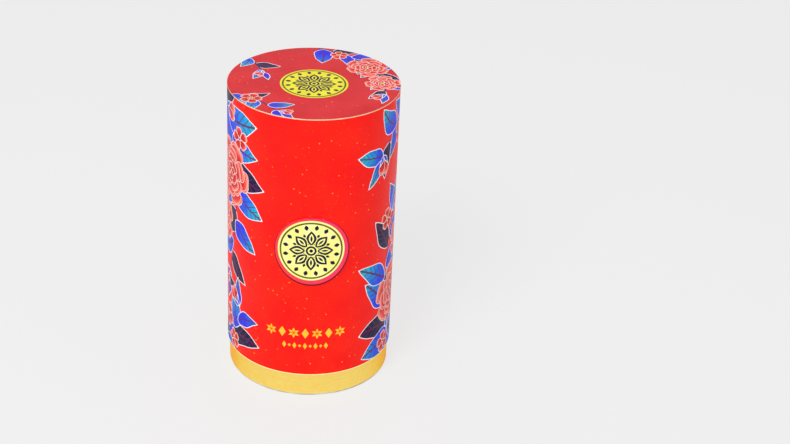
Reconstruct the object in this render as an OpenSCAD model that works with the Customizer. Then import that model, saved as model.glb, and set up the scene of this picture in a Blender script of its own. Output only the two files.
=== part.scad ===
/* Cylindrical gift tube box: a tall printed lid sleeve that slides down over a gold base tube. */
/* Millimetres, +Z up, origin on the table under the middle of the base, seal on the front at -Y. */

/* [Box] */
// Outside diameter of the lid over its printed wrap
lid_d = 96; // [70:0.5:150]
// Height from the table to the printed card on top
box_h = 177; // [120:1:260]
// Height of the gold base left showing below the lid
band_h = 14.4; // [6:0.2:40]
// Gap all round between the lid's turned-in mouth and the gold base
fit_gap = 0.25; // [0.2:0.05:0.8]
// Gap left between the base's rim and the lid's ceiling when the box is shut
seat_gap = 0.3; // [0.2:0.05:0.9]

/* [Board and paper] */
// Wall of the lid's wound board sleeve
lid_board_t = 0.55; // [0.4:0.05:1.5]
// Wall of the base's wound board tube
base_board_t = 1.2; // [0.8:0.1:2.5]
// Thickness of the greyboard discs that close the two tubes
end_board_t = 1.5; // [1:0.1:3]
// Thickness of the white-cored printed card on top
top_card_t = 0.6; // [0.3:0.05:1.2]
// Thickness of the gold card disc underneath
foot_card_t = 0.3; // [0.2:0.05:0.8]
// Thickness of the printed and gold wrapping papers
wrap_t = 0.13; // [0.1:0.01:0.25]
// Thickness of the white lining papers
lining_t = 0.1; // [0.08:0.01:0.2]
// Thickness of the glue film between two layers
glue_t = 0.04; // [0.03:0.01:0.08]

/* [Wraps] */
// Width of the seam where a wrap laps over its own start
lap_w = 9; // [5:0.5:16]
// Length over which the lapping edge climbs onto the layer below
lap_climb = 1.5; // [0.8:0.1:4]
// Depth of the paper turned in at each mouth
turn_in = 12; // [6:0.5:25]
// Width of the tabs turned over the top of the lid
tab_w = 8; // [4:0.5:14]
// Number of tabs round the top of the lid
tab_count = 40; // [24:4:60]
// Width of the snipped notch between two tabs at its open end
tab_notch = 2.2; // [1:0.1:3]
// Gap left where one paper butts against another
trim_gap = 0.2; // [0.1:0.05:0.6]

/* [Foot] */
// Height of bare white board below the edge of the gold paper
bare_foot = 0.9; // [0.7:0.1:3]
// Radius of the soft outer corner of the board's cut end
foot_round = 0.45; // [0.2:0.05:0.6]
// How far the gold disc sits up inside the foot
foot_recess = 0.3; // [0.1:0.05:2]

/* [Seals] */
// Diameter of the raised board under the front seal, measured round the lid
seal_board_d = 42.8; // [20:0.2:70]
// Thickness of the raised board
seal_board_t = 0.9; // [0.5:0.05:2]
// Height of the board's centre above the table
seal_z = 96.4; // [60:0.1:130]
// How far the board is glued to the right of the box's front, measured round the lid
seal_right = 0.8; // [-3:0.1:3]
// How far the foil is stuck to the right of the board's centre
foil_right = -0.4; // [-1:0.1:1]
// How far the foil is stuck above the board's centre
foil_up = 1; // [-1.5:0.1:1.5]
// How far the top seal lies towards the front of the card's centre
top_seal_front = 2; // [-4:0.1:4]
// Diameter of the gold foil faces, front and top
foil_d = 37.8; // [16:0.2:60]
// Thickness of the gold foil paper
foil_t = 0.12; // [0.08:0.01:0.3]

/* [Hidden] */
$fn = 180;

// Lid layers, from the outside in
lid_r = lid_d / 2;
lid_board_r = lid_r - wrap_t - glue_t;
lid_bore_r = lid_board_r - lid_board_t;
lid_turn_r = lid_bore_r - glue_t;
lid_mouth_r = lid_turn_r - wrap_t;
lid_fold_r = (lid_r - lid_mouth_r) / 2;
lid_lining_r = lid_bore_r - glue_t;

// Lid heights, from the top down
card_z = box_h - top_card_t;
tabs_z = card_z - glue_t;
lid_board_top = tabs_z - wrap_t - glue_t;
top_board_z = lid_board_top - end_board_t;
top_lining_z = top_board_z - glue_t - lining_t;
mouth_z = band_h;

// Base layers, from the outside in
base_r = lid_mouth_r - fit_gap;
base_board_r = base_r - wrap_t - glue_t;
base_bore_r = base_board_r - base_board_t;
base_turn_r = base_bore_r - glue_t;
base_mouth_r = base_turn_r - wrap_t;
base_fold_r = (base_r - base_mouth_r) / 2;
base_lining_r = base_bore_r - glue_t;

// Base heights, from the table up
rim_z = top_lining_z - seat_gap;
foot_board_z = foot_recess + foot_card_t + glue_t;
foot_lining_z = foot_board_z + end_board_t + glue_t;

// Lap seams, in degrees round from +X: the lid's at the back, the base's out of its way
lid_seam = 90;
base_seam = 150;
// Depth that cutting tools run past a face
cut = 1;

// A ring between two radii and two heights
module ring(r_out, r_in, z0, z1) {
    translate([0, 0, z0])
    difference() {
        cylinder(r = r_out, h = z1 - z0);
        translate([0, 0, -cut])
        cylinder(r = r_in, h = z1 - z0 + 2 * cut);
    }
}

// A disc between two heights
module disc(r, z0, z1) {
    translate([0, 0, z0])
    cylinder(r = r, h = z1 - z0);
}

// A wound tube whose end at height z is worn round, its body running from z towards z_end
module wound_tube(r_out, r_in, z, z_end) {
    lip_r = (r_out - r_in) / 2;
    ring(r_out, r_in, min(z, z_end), max(z, z_end));
    rotate_extrude()
    translate([r_in + lip_r, z])
    intersection() {
        circle(r = lip_r, $fn = 32);
        translate([-lip_r, z_end > z ? -lip_r : 0])
        square([2 * lip_r, lip_r]);
    }
}

// The half-round bend of a paper folded over a tube's end, opening towards z_end
module bend(r_out, r_in, z, z_end) {
    fold_r = (r_out - r_in) / 2;
    rotate_extrude()
    translate([r_in + fold_r, z])
    intersection() {
        difference() {
            circle(r = fold_r, $fn = 32);
            circle(r = fold_r - wrap_t, $fn = 32);
        }
        translate([-fold_r, z_end > z ? -fold_r : 0])
        square([2 * fold_r, fold_r]);
    }
}

// The strip where a wrap of outer radius r lies double: its edge, then a climb onto the lower layer
module lap(r, seam, z0, z1) {
    lap_a = lap_w / r * 180 / PI;
    climb_a = lap_climb / r * 180 / PI;
    reach = r + 2 * wrap_t;
    rotate([0, 0, seam]) {
        intersection() {
            ring(r + wrap_t, r - wrap_t / 2, z0, z1);
            translate([0, 0, z0 - cut])
            linear_extrude(height = z1 - z0 + 2 * cut)
            polygon([[0, 0], [reach, 0], [reach, reach * tan(lap_a)]]);
        }
        translate([0, 0, z0])
        linear_extrude(height = z1 - z0)
        polygon([
            [r - wrap_t / 2, 0],
            [r + wrap_t, 0],
            [r * cos(climb_a), -r * sin(climb_a)],
            [(r - wrap_t / 2) * cos(climb_a), -(r - wrap_t / 2) * sin(climb_a)]
        ]);
    }
}

// The V notches snipped between the tabs
module tab_notches(z0, z1) {
    fold_line = lid_r - 2 * wrap_t - glue_t;
    open_r = fold_line - tab_w - cut;
    half = tab_notch / 2 * (tab_w + cut) / tab_w;
    translate([0, 0, z0 - cut])
    linear_extrude(height = z1 - z0 + 2 * cut)
    for (i = [0 : tab_count - 1])
        rotate([0, 0, (i + 0.5) * 360 / tab_count])
        polygon([[open_r, -half], [fold_line, 0], [open_r, half]]);
}

// Round outline of a flat disc after it is bent round a drum of radius r, as seen from the front
function bent_disc(d, r) = [
    for (a = [0 : 5 : 355])
        [r * sin(d / 2 * cos(a) / r * 180 / PI), d / 2 * sin(a)]
];

// A disc of board or foil bent onto the front of the lid, its centre so far to the right and at height z
module front_disc(d, r_in, r_out, right, z) {
    rotate([0, 0, right / r_out * 180 / PI])
    intersection() {
        ring(r_out, r_in, z - d / 2 - cut, z + d / 2 + cut);
        translate([0, 0, z])
        rotate([90, 0, 0])
        linear_extrude(height = r_out + cut)
        polygon(bent_disc(d, (r_in + r_out) / 2));
    }
}

// Wound board sleeve of the lid, open at its mouth
module lid_tube() {
    color("burlywood")
    wound_tube(lid_board_r, lid_bore_r, mouth_z + lid_fold_r, lid_board_top);
}

// Printed paper: round the sleeve, turned in at the mouth and over the top in tabs
module lid_wrap() {
    bend_z = mouth_z + lid_fold_r;
    color("red") {
        ring(lid_r, lid_r - wrap_t, bend_z, tabs_z - wrap_t);
        lap(lid_r, lid_seam, bend_z, tabs_z - wrap_t);
        bend(lid_r, lid_mouth_r, bend_z, lid_board_top);
        ring(lid_turn_r, lid_mouth_r, bend_z, mouth_z + turn_in);
        rotate_extrude()
        translate([lid_r - wrap_t, tabs_z - wrap_t])
        intersection() {
            circle(r = wrap_t, $fn = 32);
            square(wrap_t);
        }
        difference() {
            ring(lid_r - wrap_t, lid_r - tab_w, tabs_z - wrap_t, tabs_z);
            tab_notches(tabs_z - wrap_t, tabs_z);
        }
    }
}

// White paper inside the sleeve, from the turned-in edge up to the ceiling
module lid_lining() {
    color("white")
    ring(lid_lining_r, lid_lining_r - lining_t, mouth_z + turn_in + trim_gap, top_lining_z - trim_gap);
}

// Greyboard disc that closes the lid, flush with the sleeve's end
module lid_top_board() {
    color("tan")
    disc(lid_bore_r - glue_t, top_board_z, lid_board_top);
}

// White paper on the lid's ceiling
module lid_top_lining() {
    color("white")
    disc(lid_bore_r - glue_t, top_lining_z, top_lining_z + lining_t);
}

// Printed card over the tabs, cut to the lid's full width so that its white core shows
module lid_top_card() {
    color("crimson")
    difference() {
        disc(lid_r, card_z, box_h);
        translate([0, -top_seal_front, 0])
        disc(foil_d / 2 + glue_t, box_h - foil_t - glue_t, box_h + cut);
    }
}

// Gold foil seal pressed flush into the card
module top_seal_foil() {
    color("gold")
    translate([0, -top_seal_front, 0])
    disc(foil_d / 2, box_h - foil_t, box_h);
}

// Magenta-edged board that carries the front seal proud of the lid
module front_seal_board() {
    color("deeppink")
    front_disc(seal_board_d, lid_r + glue_t, lid_r + glue_t + seal_board_t, seal_right, seal_z);
}

// Gold foil face of the front seal
module front_seal_foil() {
    foil_r = lid_r + glue_t + seal_board_t + glue_t;
    color("gold")
    front_disc(foil_d, foil_r, foil_r + foil_t, seal_right + foil_right, seal_z + foil_up);
}

// Wound board tube of the base, standing on its cut end
module base_tube() {
    color("burlywood")
    difference() {
        wound_tube(base_board_r, base_bore_r, rim_z - base_fold_r, 0);
        rotate_extrude()
        translate([base_board_r - foot_round, 0])
        difference() {
            translate([0, -cut])
            square([foot_round + cut, foot_round + cut]);
            translate([0, foot_round])
            circle(r = foot_round, $fn = 32);
        }
    }
}

// Gold paper round the base tube, turned in over its rim and stopping short of the foot
module base_wrap() {
    bend_z = rim_z - base_fold_r;
    color("goldenrod") {
        ring(base_r, base_r - wrap_t, bare_foot, bend_z);
        bend(base_r, base_mouth_r, bend_z, 0);
        ring(base_turn_r, base_mouth_r, rim_z - turn_in, bend_z);
        lap(base_r, base_seam, bare_foot, bend_z);
    }
}

// White paper inside the base, from the bottom up to the turned-in edge
module base_lining() {
    color("white")
    ring(base_lining_r, base_lining_r - lining_t, foot_lining_z + lining_t + trim_gap, rim_z - turn_in - trim_gap);
}

// Greyboard disc that closes the base
module base_bottom_board() {
    color("tan")
    disc(base_bore_r - glue_t, foot_board_z, foot_board_z + end_board_t);
}

// White paper on the floor of the base
module base_bottom_lining() {
    color("white")
    disc(base_bore_r - glue_t, foot_lining_z, foot_lining_z + lining_t);
}

// Gold card disc on the underside, set up inside the foot
module base_bottom_card() {
    color("goldenrod")
    disc(base_bore_r - trim_gap, foot_recess, foot_recess + foot_card_t);
}

lid_tube();
lid_wrap();
lid_lining();
lid_top_board();
lid_top_lining();
lid_top_card();
top_seal_foil();
front_seal_board();
front_seal_foil();
base_tube();
base_wrap();
base_lining();
base_bottom_board();
base_bottom_lining();
base_bottom_card();
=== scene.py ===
"""Dresses the gift tube box: printed lid wrap and card, foil seals, gold base, pale studio.

Sizes on the flat sheets are millimetres, and meshes are written in metres in the frame's own axes.
"""

import logging
import math
import random
from dataclasses import dataclass, replace
from enum import IntEnum
from typing import Iterable, Sequence

import bmesh
import bpy
from bmesh.types import BMesh, BMFace, BMVert
from mathutils import Matrix, Vector
from mathutils.geometry import delaunay_2d_cdt, interpolate_bezier, intersect_point_line


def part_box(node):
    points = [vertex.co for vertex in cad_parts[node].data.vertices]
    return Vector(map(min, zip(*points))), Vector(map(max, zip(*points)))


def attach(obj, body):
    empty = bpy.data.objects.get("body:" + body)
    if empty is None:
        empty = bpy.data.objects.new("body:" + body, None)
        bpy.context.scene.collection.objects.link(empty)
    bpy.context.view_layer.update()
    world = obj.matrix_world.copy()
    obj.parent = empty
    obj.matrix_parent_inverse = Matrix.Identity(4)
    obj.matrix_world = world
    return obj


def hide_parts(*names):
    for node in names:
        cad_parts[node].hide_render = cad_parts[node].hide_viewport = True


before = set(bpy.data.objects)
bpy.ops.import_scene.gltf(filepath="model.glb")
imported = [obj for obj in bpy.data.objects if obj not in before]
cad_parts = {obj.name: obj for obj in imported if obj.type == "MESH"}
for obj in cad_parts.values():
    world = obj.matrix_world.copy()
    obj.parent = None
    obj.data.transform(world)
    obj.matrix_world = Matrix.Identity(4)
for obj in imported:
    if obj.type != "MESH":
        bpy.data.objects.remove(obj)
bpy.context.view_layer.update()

MM = 0.001
ROUND_STEPS = 256
SHARP_ANGLE = 0.9
SHADING_ANGLE = math.radians(40)
TINY = 1e-9
LOG = logging.getLogger("gift_tube")
Colour = tuple[float, float, float]


def srgb(red: int, green: int, blue: int) -> Colour:
    """Turns a screen colour into the linear one that a shader takes.

    Args:
        red: Screen red, 0 to 255.
        green: Screen green, 0 to 255.
        blue: Screen blue, 0 to 255.

    Returns:
        The linear colour.
    """

    def linear(level: int) -> float:
        """Undoes the screen curve for one channel."""
        part = level / 255
        return part / 12.92 if part <= 0.04045 else ((part + 0.055) / 1.055) ** 2.4

    return linear(red), linear(green), linear(blue)


# Shader graphs


@dataclass(frozen=True)
class Value:
    """A shader socket that takes part in Python arithmetic."""

    graph: "Graph"
    socket: bpy.types.NodeSocket

    def _math(self, operation: str, *operands: "Value | float") -> "Value":
        """Adds one Math node."""
        node = self.graph.node("ShaderNodeMath", {"operation": operation}, dict(enumerate(operands)))
        return Value(self.graph, node.outputs[0])

    def __add__(self, other: "Value | float") -> "Value":
        """Sum."""
        return self._math("ADD", self, other)

    def __mul__(self, other: "Value | float") -> "Value":
        """Product."""
        return self._math("MULTIPLY", self, other)

    __radd__ = __add__
    __rmul__ = __mul__

    def __sub__(self, other: "Value | float") -> "Value":
        """Difference."""
        return self._math("SUBTRACT", self, other)

    def __rsub__(self, other: float) -> "Value":
        """Difference from a number."""
        return self._math("SUBTRACT", other, self)

    def __truediv__(self, other: "Value | float") -> "Value":
        """Quotient."""
        return self._math("DIVIDE", self, other)

    def __rtruediv__(self, other: float) -> "Value":
        """Quotient of a number."""
        return self._math("DIVIDE", other, self)

    def __pow__(self, other: "Value | float") -> "Value":
        """Power."""
        return self._math("POWER", self, other)

    def __abs__(self) -> "Value":
        """Size without sign."""
        return self._math("ABSOLUTE", self)

    def fract(self) -> "Value":
        """Part after the point."""
        return self._math("FRACT", self)

    def sine(self) -> "Value":
        """Sine."""
        return self._math("SINE", self)

    def turn(self, other: "Value") -> "Value":
        """Angle of the point whose height is this and whose breadth is other."""
        return self._math("ARCTAN2", self, other)

    def least(self, other: "Value | float") -> "Value":
        """The smaller of the two."""
        return self._math("MINIMUM", self, other)

    def above(self, other: "Value | float") -> "Value":
        """One where this is the greater."""
        return self._math("GREATER_THAN", self, other)

    def ease(self, low: float, high: float) -> "Value":
        """Rises smoothly from 0 at low to 1 at high, or falls where low is the greater.

        Args:
            low: Where the result is 0.
            high: Where the result is 1.

        Returns:
            The eased value.
        """
        first, last = min(low, high), max(low, high)
        node = self.graph.node(
            "ShaderNodeMapRange",
            {"interpolation_type": "SMOOTHSTEP"},
            {"Value": self, "From Min": first, "From Max": last},
        )
        rise = Value(self.graph, node.outputs[0])
        return rise if low < high else 1 - rise


class Graph:
    """The node tree of one material, or of the room."""

    def __init__(self, name: str, room: bool = False) -> None:
        """Starts an empty tree.

        Args:
            name: The name of the material or the world.
            room: Whether it is a world's tree.
        """
        self.owner = (bpy.data.worlds if room else bpy.data.materials).new(name)
        self.owner.use_nodes = True
        self.tree = self.owner.node_tree
        self.tree.nodes.clear()

    def node(self, kind: str, settings: dict | None = None, sockets: dict | None = None) -> bpy.types.Node:
        """Adds any node.

        Args:
            kind: The node's type.
            settings: Its properties; the key stops holds a ramp's list of (place, colour).
            sockets: Values or links of its inputs, by name or number.

        Returns:
            The node.
        """
        made = self.tree.nodes.new(kind)
        for key, setting in (settings or {}).items():
            if key == "stops":
                self._set_stops(made.color_ramp, setting)
            else:
                setattr(made, key, setting)
        for key, given in (sockets or {}).items():
            if isinstance(given, Value):
                self.tree.links.new(given.socket, made.inputs[key])
            else:
                made.inputs[key].default_value = given
        return made

    @staticmethod
    def _set_stops(ramp: bpy.types.ColorRamp, stops: Sequence[tuple[float, Colour]]) -> None:
        """Gives a ramp its stops.

        Args:
            ramp: The ramp.
            stops: Place and colour of each stop.
        """
        while len(ramp.elements) < len(stops):
            ramp.elements.new(1.0)
        for element, (place, colour) in zip(ramp.elements, stops):
            element.position = place
            element.color = (*colour, 1.0)

    def point(self, scale: Sequence[float] = (1, 1, 1), shift: Sequence[float] = (0, 0, 0)) -> Value:
        """Object coordinates in metres, stretched by scale.

        Args:
            scale: Stretch along each axis.
            shift: Move after the stretch.

        Returns:
            The vector.
        """
        source = Value(self, self.node("ShaderNodeTexCoord").outputs["Object"])
        mapped = self.node("ShaderNodeMapping", {}, {"Vector": source, "Scale": scale, "Location": shift})
        return Value(self, mapped.outputs[0])

    def split(self, vector: Value) -> tuple[Value, Value, Value]:
        """A vector's three parts."""
        parts = self.node("ShaderNodeSeparateXYZ", {}, {0: vector}).outputs
        return Value(self, parts[0]), Value(self, parts[1]), Value(self, parts[2])

    def chart(self, name: str) -> tuple[Value, Value]:
        """The two numbers that a piece carries in one of its maps."""
        vector = Value(self, self.node("ShaderNodeUVMap", {"uv_map": name}).outputs[0])
        return self.split(vector)[:2]

    def noise(self, vector: Value, scale: float, detail: float = 3, rough: float = 0.5) -> Value:
        """Cloudy noise about 0.5, with scale waves per metre and detail octaves."""
        sockets = {"Vector": vector, "Scale": scale, "Detail": detail, "Roughness": rough}
        return Value(self, self.node("ShaderNodeTexNoise", {}, sockets).outputs[0])

    def cells(self, vector: Value, scale: float) -> Value:
        """Distance to the nearest of scattered points, in units of their spacing."""
        node = self.node("ShaderNodeTexVoronoi", {"feature": "F1"}, {"Vector": vector, "Scale": scale})
        return Value(self, node.outputs["Distance"])

    def mix(self, factor: Value | float, first: "Value | Colour", second: "Value | Colour") -> Value:
        """Blends two colours.

        Args:
            factor: 0 for the first and 1 for the second.
            first: A colour.
            second: A colour.

        Returns:
            The blend.
        """

        def paint(colour: "Value | Colour") -> "Value | tuple":
            """Gives a plain colour its alpha."""
            return colour if isinstance(colour, Value) else (*colour, 1.0)

        sockets = {0: factor, 6: paint(first), 7: paint(second)}
        return Value(self, self.node("ShaderNodeMix", {"data_type": "RGBA"}, sockets).outputs[2])

    def ramp(self, factor: Value, stops: Sequence[tuple[float, Colour]]) -> Value:
        """Runs a value through colour stops."""
        return Value(self, self.node("ShaderNodeValToRGB", {"stops": stops}, {0: factor}).outputs[0])

    def bump(self, height: Value, depth: float, normal: Value | None = None) -> Value:
        """Turns a height into a normal.

        Args:
            height: Height from 0 to 1.
            depth: How deep that is, in metres.
            normal: A normal to start from.

        Returns:
            The normal.
        """
        sockets = {"Height": height, "Distance": depth, "Strength": 1.0}
        if normal is not None:
            sockets["Normal"] = normal
        return Value(self, self.node("ShaderNodeBump", {}, sockets).outputs[0])

    def finish(self, **sockets: "Value | float | Colour") -> bpy.types.Material:
        """Closes the tree with one Principled shader.

        Args:
            **sockets: Its inputs, with underscores for the blanks in their names.

        Returns:
            The material.
        """
        named = {}
        for key, given in sockets.items():
            label = key.replace("_", " ").title().replace("Ior", "IOR")
            named[label] = (*given, 1.0) if isinstance(given, tuple) else given
        shader = self.node("ShaderNodeBsdfPrincipled", {}, named)
        self.node("ShaderNodeOutputMaterial", {}, {"Surface": Value(self, shader.outputs[0])})
        return self.owner

    def seen(self) -> Value:
        """Tells the rays that show a thing from those that it only lights.

        Returns:
            One for the camera's rays and those in gloss or glass, and 0 for the others.
        """
        ray = self.node("ShaderNodeLightPath").outputs
        shown = Value(self, ray["Is Camera Ray"]) + Value(self, ray["Is Glossy Ray"])
        return (shown + Value(self, ray["Is Transmission Ray"])).least(1.0)


# Finishes


@dataclass(frozen=True)
class Laminate:
    """The satin film over every printed surface: its gloss and faint unevenness."""

    roughness: float = 0.42
    specular: float = 0.16
    coat: float = 0.05
    coat_roughness: float = 0.16
    ripple: float = 0.000012
    grain: float = 0.000004

    def close(self, graph: Graph, colour: Value | Colour) -> bpy.types.Material:
        """Lays the film over a printed colour.

        Args:
            graph: The material's tree.
            colour: The print below.

        Returns:
            The material.
        """
        here = graph.point()
        ripples = graph.noise(here, 90, 2)
        grain = graph.noise(here, 2600, 2)
        worn = graph.noise(here, 45, 4, 0.6).ease(0.35, 0.75)
        normal = graph.bump(grain, self.grain, graph.bump(ripples, self.ripple))
        return graph.finish(
            base_color=colour,
            roughness=self.roughness + 0.1 * worn,
            specular_ior_level=self.specular,
            coat_weight=self.coat,
            coat_roughness=self.coat_roughness,
            normal=normal,
        )


@dataclass(frozen=True)
class RedGround:
    """Bright red print, mottled a little and sown with orange-gold flecks."""

    name: str = "red_ground"
    deep: Colour = srgb(250, 6, 0)
    warm: Colour = srgb(254, 24, 0)
    fleck: Colour = srgb(255, 172, 20)
    fleck_spacing: float = 0.0042
    fleck_size: float = 0.00043
    dust_spacing: float = 0.002
    dust_size: float = 0.00028
    dust_strength: float = 0.55
    sparsest: float = 0.2
    film: Laminate = Laminate()

    def material(self) -> bpy.types.Material:
        """Makes the material.

        Returns:
            The material.
        """
        graph = Graph(self.name)
        here = graph.point()
        ground = graph.mix(graph.noise(here, 55, 4).ease(0.3, 0.7), self.deep, self.warm)
        dust = graph.cells(here, 1 / self.dust_spacing).ease(self.dust_size / self.dust_spacing, 0.0)
        flecks = graph.cells(here, 1 / self.fleck_spacing)
        size = self.fleck_size / self.fleck_spacing
        sown = self.sparsest + (1 - self.sparsest) * graph.noise(here, 26, 2).ease(0.42, 0.56)
        specked = graph.mix(dust * sown * self.dust_strength, ground, self.fleck)
        specked = graph.mix(flecks.ease(size, size * 0.6) * sown, specked, self.fleck)
        return self.film.close(graph, specked)


@dataclass(frozen=True)
class PaleLine:
    """The pale contour round every printed leaf and petal."""

    name: str = "pale_contour"
    colour: Colour = srgb(238, 246, 255)
    blush: Colour = srgb(255, 222, 212)
    worn: Colour = srgb(214, 176, 206)
    wear: float = 0.12
    film: Laminate = Laminate()

    def material(self) -> bpy.types.Material:
        """Makes the material.

        Returns:
            The material.
        """
        graph = Graph(self.name)
        brush = graph.noise(graph.point(), 380, 3).ease(0.35, 0.65)
        tone, _ = graph.chart("tone")
        pale = graph.mix(tone, self.colour, self.blush)
        return self.film.close(graph, graph.mix(brush * self.wear, pale, self.worn))


@dataclass(frozen=True)
class LeafInk:
    """Painted leaves: cobalt running to teal, or near black, with maroon veins."""

    name: str = "leaf_ink"
    cobalt: Colour = srgb(4, 30, 248)
    azure: Colour = srgb(0, 94, 242)
    teal: Colour = srgb(0, 180, 214)
    night: Colour = srgb(4, 2, 58)
    vein: Colour = srgb(98, 6, 66)
    glint: Colour = srgb(120, 200, 250)
    vein_count: float = 6.0
    vein_slant: float = 0.28
    vein_strength: float = 0.9
    glint_strength: float = 0.08
    film: Laminate = Laminate()

    def material(self) -> bpy.types.Material:
        """Makes the material.

        Returns:
            The material.
        """
        graph = Graph(self.name)
        along, across = graph.chart("motif")
        width, bend = graph.chart("form")
        tone, seed = graph.chart("tone")
        here = graph.point()
        side = across - bend * 4 * along * (1 - along)
        off = abs(side) / width
        wash = graph.noise(graph.point((1, 1, 0.6)), 260, 3)
        run = along + (wash - 0.5) * 0.5 + (seed - 0.5) * 0.5
        paint = graph.ramp(run, [(0.12, self.cobalt), (0.5, self.azure), (0.9, self.teal)])
        shade = graph.mix(off.ease(0.3, 0.9) * 0.25, paint, self.cobalt)
        shade = graph.mix(tone.ease(0.55, 0.8), shade, self.night)
        # The veins of the two halves take turns, and 40 keeps the count above zero.
        beat = (along - self.vein_slant * off) * self.vein_count + 0.5 * side.above(0.0) + 40
        near = abs(beat.fract() - 0.5)
        ribs = near.ease(0.12, 0.06) * off.ease(0.98, 0.75) * along.ease(0.06, 0.14)
        midrib = abs(side).ease(0.028, 0.014)
        veined = graph.mix((1 - (1 - ribs) * (1 - midrib)) * self.vein_strength, shade, self.vein)
        light = graph.noise(here, 520, 2).ease(0.5, 0.8) * self.glint_strength
        return self.film.close(graph, graph.mix(light, veined, self.glint))


@dataclass(frozen=True)
class PetalInk:
    """Painted petals: deep at the heart, coral across, pale at the lip, with fine strokes."""

    name: str = "petal_ink"
    heart: Colour = srgb(204, 6, 22)
    coral: Colour = srgb(238, 52, 46)
    salmon: Colour = srgb(252, 130, 110)
    lip: Colour = srgb(255, 200, 184)
    stroke_count: float = 9.0
    stroke_strength: float = 0.28
    fold_at: float = 0.74
    fold_strength: float = 0.75
    film: Laminate = Laminate()

    def material(self) -> bpy.types.Material:
        """Makes the material.

        Returns:
            The material.
        """
        graph = Graph(self.name)
        along, across = graph.chart("motif")
        width, _ = graph.chart("form")
        tone, seed = graph.chart("tone")
        v = across / width
        u = (along - 0.5) * 2
        reach = (u * u + v * v) ** 0.5
        blot = graph.noise(graph.point(), 230, 3) - 0.5
        rise = (along - 0.42) * 1.4 + blot * 0.26 + tone * 0.38 - 0.06
        stops = [(0.24, self.heart), (0.48, self.coral), (0.78, self.salmon), (1.0, self.lip)]
        paint = graph.ramp(rise, stops)
        strokes = ((v * self.stroke_count + seed * 7) * (1.25 - 0.45 * along)).sine().ease(0.55, 1.0)
        strokes = strokes * reach.ease(0.95, 0.5) * along.ease(0.15, 0.5)
        paint = graph.mix(strokes * self.stroke_strength, paint, self.heart)
        fold = abs(reach - self.fold_at - blot * 0.05).ease(0.05, 0.015) * along.ease(0.42, 0.6)
        return self.film.close(graph, graph.mix(fold * self.fold_strength, paint, self.lip))


@dataclass(frozen=True)
class FlatInk:
    """A spot colour that varies only as ink on paper does."""

    name: str
    colour: Colour
    second: Colour
    unevenness: float = 0.5
    film: Laminate = Laminate()

    def material(self) -> bpy.types.Material:
        """Makes the material.

        Returns:
            The material.
        """
        graph = Graph(self.name)
        patch = graph.noise(graph.point(), 300, 3).ease(0.35, 0.65)
        return self.film.close(graph, graph.mix(patch * self.unevenness, self.colour, self.second))


@dataclass(frozen=True)
class GoldPaper:
    """Satin metallised paper: fine flake, brushed run and a few scuffs.

    rubbed_foot is the height, in metres, below which the paper is chipped. crease is the radius of one curved
    crease round crease_middle, which starts at crease_from.
    """

    name: str
    gold: Colour = srgb(255, 233, 134)
    amber: Colour = srgb(255, 201, 60)
    scuff: Colour = srgb(255, 242, 200)
    roughness: float = 0.3
    metallic: float = 0.8
    edge_tint: Colour = srgb(255, 176, 60)
    scuffs: float = 0.8
    rubbed_foot: float = 0.0
    crease: float = 0.0
    crease_middle: tuple[float, float] = (-0.012, 0.018)
    crease_from: tuple[float, float] = (0.008, 0.014)
    crease_width: float = 0.0006
    crease_depth: float = 0.00008

    def material(self) -> bpy.types.Material:
        """Makes the material.

        Returns:
            The material.
        """
        graph = Graph(self.name)
        here = graph.point()
        brushed = graph.noise(graph.point((1, 1, 22)), 60, 5, 0.65)
        cloud = graph.noise(here, 420, 3)
        flake = graph.noise(here, 3200, 2)
        tint = graph.mix(0.35 + (cloud - 0.5) * 0.6 + (brushed - 0.5) * 0.9, self.gold, self.amber)
        marks = graph.noise(graph.point((1, 1, 2.2)), 420, 4, 0.7).ease(0.66, 0.74)
        rubbed = marks * graph.noise(here, 60, 2).ease(0.5, 0.66) * self.scuffs
        if self.rubbed_foot:
            chips = graph.noise(graph.point((1, 1, 1.6)), 700, 3, 0.7).ease(0.57, 0.64)
            patches = graph.noise(here, 40, 2).ease(0.46, 0.56)
            rubbed = rubbed + chips * patches * graph.split(here)[2].ease(self.rubbed_foot, 0.0008)
        normal = graph.bump(flake, 0.000006, graph.bump(graph.noise(here, 120, 3), 0.00002))
        if self.crease:
            x, y, _ = graph.split(here)
            middle_x, middle_y = self.crease_middle
            from_x, from_y = self.crease_from
            reach = ((x - middle_x) ** 2 + (y - middle_y) ** 2) ** 0.5
            fold = abs(reach - self.crease).ease(self.crease_width, 0.0001)
            fold = fold * x.ease(from_x, from_x + 0.004) * y.ease(from_y, from_y + 0.008)
            normal = graph.bump(1 - fold, self.crease_depth, normal)
            rubbed = rubbed + fold * 0.5
        return graph.finish(
            base_color=graph.mix(rubbed, tint, self.scuff),
            metallic=self.metallic * (1 - 0.8 * rubbed),
            roughness=self.roughness + 0.12 * (brushed - 0.5) + 0.25 * rubbed,
            specular_tint=self.edge_tint,
            normal=normal,
        )


@dataclass(frozen=True)
class FoilFace:
    """Bright gold foil of the seals, finely grained."""

    name: str
    bright: Colour
    rich: Colour
    roughness: float = 0.3
    metallic: float = 0.35
    sheen_tint: Colour = (1.0, 0.86, 0.2)

    def material(self) -> bpy.types.Material:
        """Makes the material.

        Returns:
            The material.
        """
        graph = Graph(self.name)
        here = graph.point()
        cloud = graph.noise(here, 130, 3).ease(0.3, 0.7)
        grain = graph.noise(here, 2400, 2)
        return graph.finish(
            base_color=graph.mix(cloud, self.bright, self.rich),
            metallic=self.metallic,
            roughness=self.roughness + 0.1 * (grain - 0.5),
            specular_tint=self.sheen_tint,
            normal=graph.bump(grain, 0.000008, graph.bump(graph.noise(here, 160, 2), 0.00002)),
        )


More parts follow.
